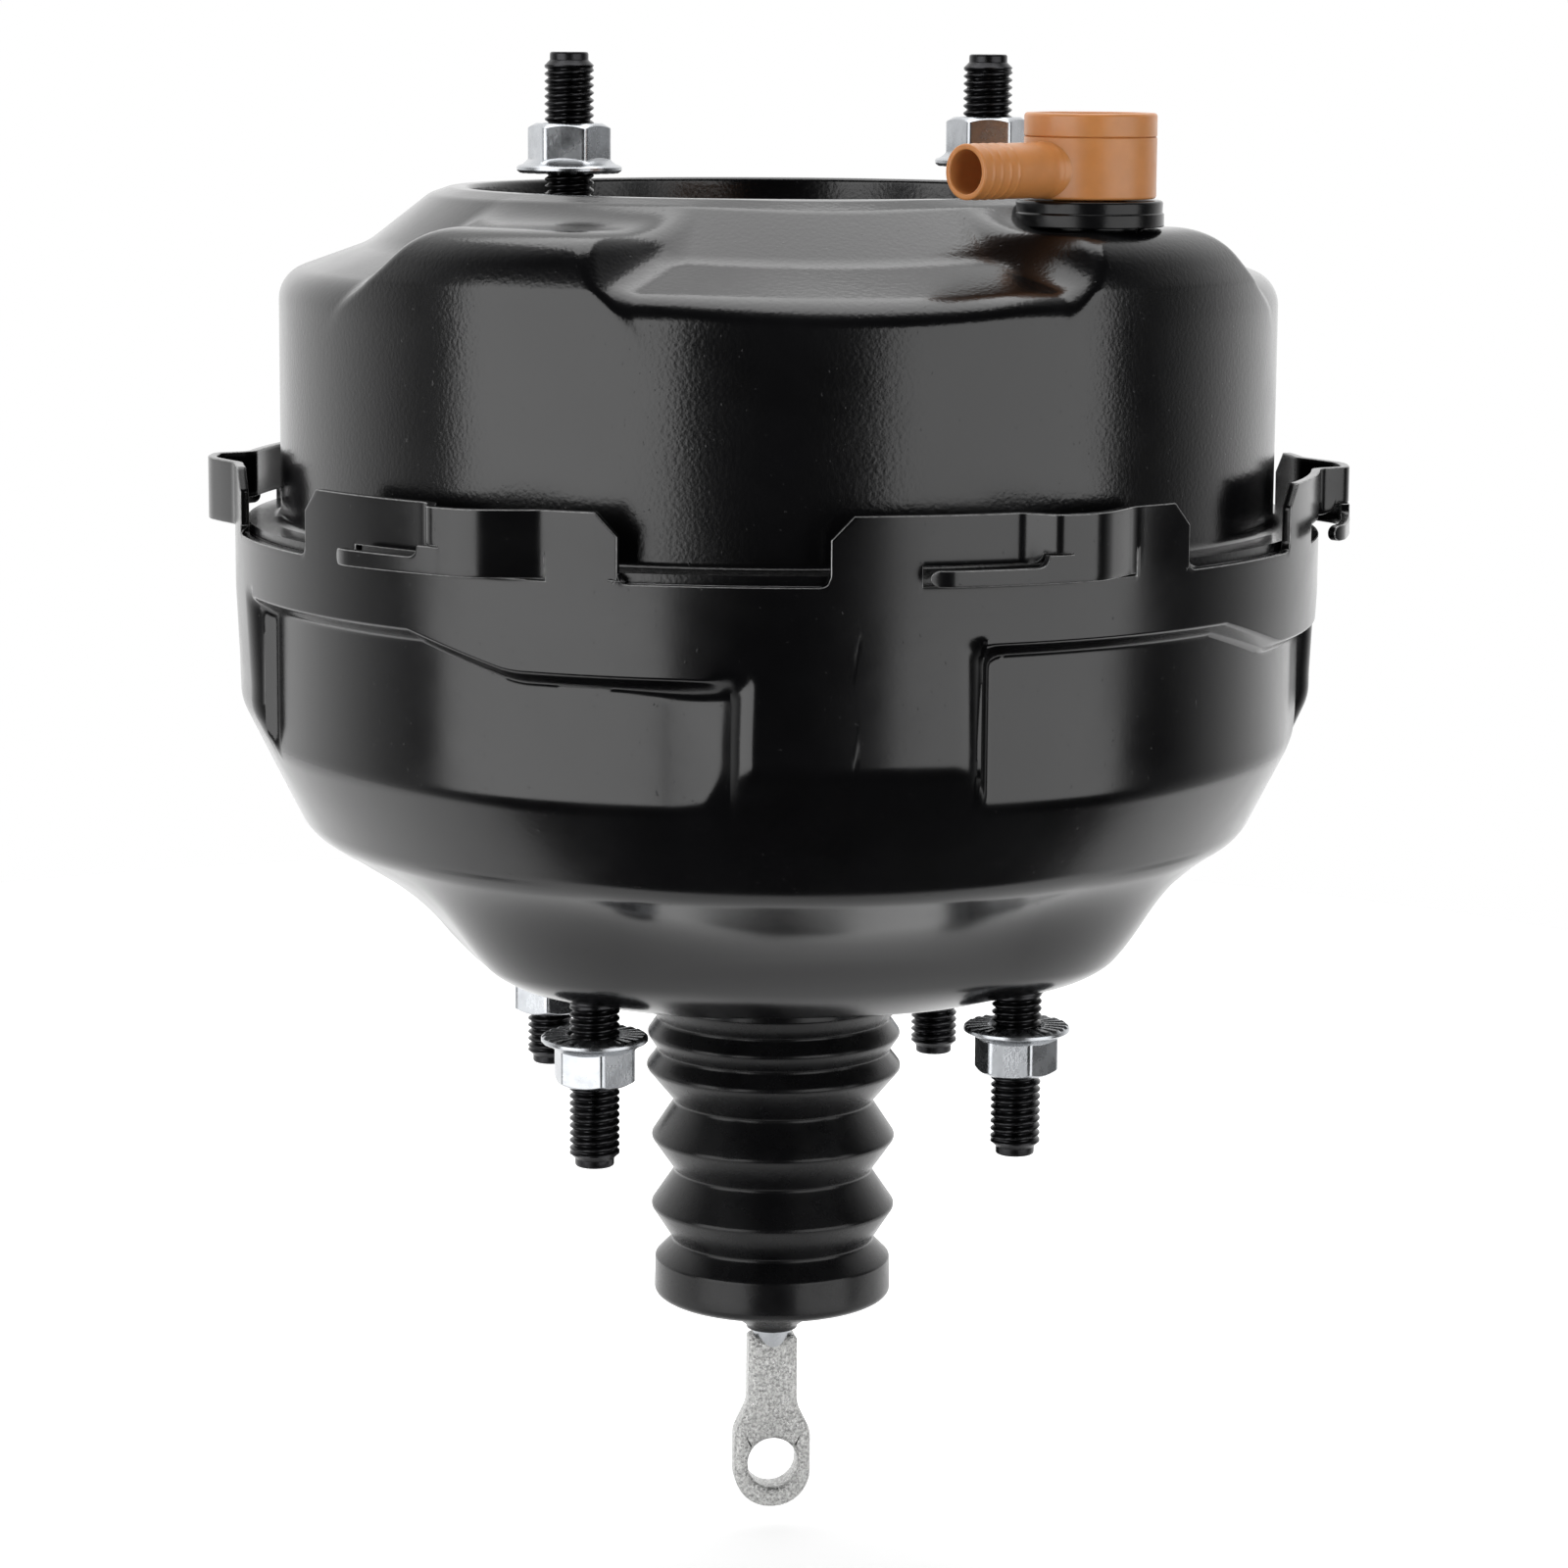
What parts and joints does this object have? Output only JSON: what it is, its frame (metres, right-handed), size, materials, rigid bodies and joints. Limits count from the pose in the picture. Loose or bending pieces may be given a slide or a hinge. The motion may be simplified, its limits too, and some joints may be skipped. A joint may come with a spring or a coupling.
{
  "type": "brake booster",
  "caption": "Vacuum brake booster: pressed steel housing with firewall and master cylinder studs, check valve with hose nozzle, rubber boot and pedal rod with an eye.",
  "frame": {"origin": "centre of the firewall mounting face, on the booster's axis", "axes": "+Z along the axis, from the pedal side to the master cylinder; the master cylinder studs lie on the X axis; the check valve stands towards +X -Y"},
  "size_m": [0.2322, 0.2314, 0.3053],
  "materials": {
    "black_paint": "gloss black paint over pressed steel, fine orange peel",
    "plain_steel": "plain pressed steel",
    "black_steel": "black oxide, satin",
    "zinc": "bright zinc plate",
    "pressed_alloy": "plain pressed sheet",
    "rubber": "satin black rubber",
    "bearing_plastic": "natural",
    "spring_steel": "oil hardened wire",
    "resin": "dark moulded resin",
    "felt": "felt",
    "nylon": "tan moulded nylon, satin"
  },
  "bodies": {
    "housing": {"rear_shell": "black_paint", "front_shell": "black_paint", "firewall_stud_plate": "plain_steel", "firewall_studs": "black_steel", "firewall_nuts": "zinc", "master_stud_plate": "plain_steel", "master_studs": "black_steel", "master_nuts": "zinc", "divider": "pressed_alloy", "divider_seal": "rubber", "front_seal": "rubber", "front_seal_retainer": "plain_steel", "rear_bearing": "bearing_plastic", "rear_seal": "rubber", "rear_seal_ring": "plain_steel", "valve_grommet": "rubber", "primary_diaphragm": "rubber", "secondary_diaphragm": "rubber", "return_spring": "spring_steel", "boot": "rubber"},
    "power_piston": {"power_piston": "resin", "primary_plate": "pressed_alloy", "primary_ring": "plain_steel", "secondary_plate": "pressed_alloy", "spring_seat": "plain_steel", "lock_ring": "spring_steel", "reaction_disc": "rubber", "output_rod": "zinc", "adjusting_screw": "zinc", "poppet_retainer": "plain_steel", "poppet_spring": "spring_steel", "rod_spring": "spring_steel", "silencer": "felt", "air_filter": "felt"},
    "plunger": {"plunger": "zinc", "stop_key": "plain_steel"},
    "poppet": {"poppet": "rubber"},
    "input_rod": {"input_rod": "zinc", "rod_collar": "plain_steel"},
    "check_valve": {"valve_body": "nylon", "valve_cap": "nylon", "valve_spring": "spring_steel"},
    "check_disc": {"valve_disc": "rubber"}
  },
  "joints": [
    {"name": "piston_stroke", "type": "slide", "parent": "housing", "child": "power_piston", "axis": [0, 0, 1], "range_m": [0, 0.03], "stiffness_N_per_m": 3000, "springref_m": -0.03, "deforming": ["return_spring", "boot", "primary_diaphragm", "secondary_diaphragm"]},
    {"name": "valve_travel", "type": "slide", "parent": "power_piston", "child": "plunger", "axis": [0, 0, 1], "range_m": [0, 0.002], "stiffness_N_per_m": 5000, "springref_m": -0.004, "deforming": ["rod_spring"]},
    {"name": "poppet_travel", "type": "slide", "parent": "power_piston", "child": "poppet", "axis": [0, 0, 1], "range_m": [0, 0.001], "deforming": ["poppet_spring"]},
    {"name": "rod_tilt", "type": "hinge", "parent": "plunger", "child": "input_rod", "pos_m": [0, 0, -0.006], "axis": [0, 1, 0], "range_deg": [-2.5, 2.5], "stiffness_Nm_per_rad": 0.5},
    {"name": "valve_swivel", "type": "hinge", "parent": "housing", "child": "check_valve", "pos_m": [0.05074, -0.06378, 0.158], "axis": [0, 0, 1], "range_deg": [-120, 120]},
    {"name": "disc_lift", "type": "slide", "parent": "check_valve", "child": "check_disc", "axis": [0, 0, 1], "range_m": [0, 0.0015], "stiffness_N_per_m": 100, "springref_m": -0.002, "deforming": ["valve_spring"]}
  ],
  "couplings": [
    {"joint": "poppet_travel", "follows": "valve_travel", "ratio": 0.5}
  ]
}
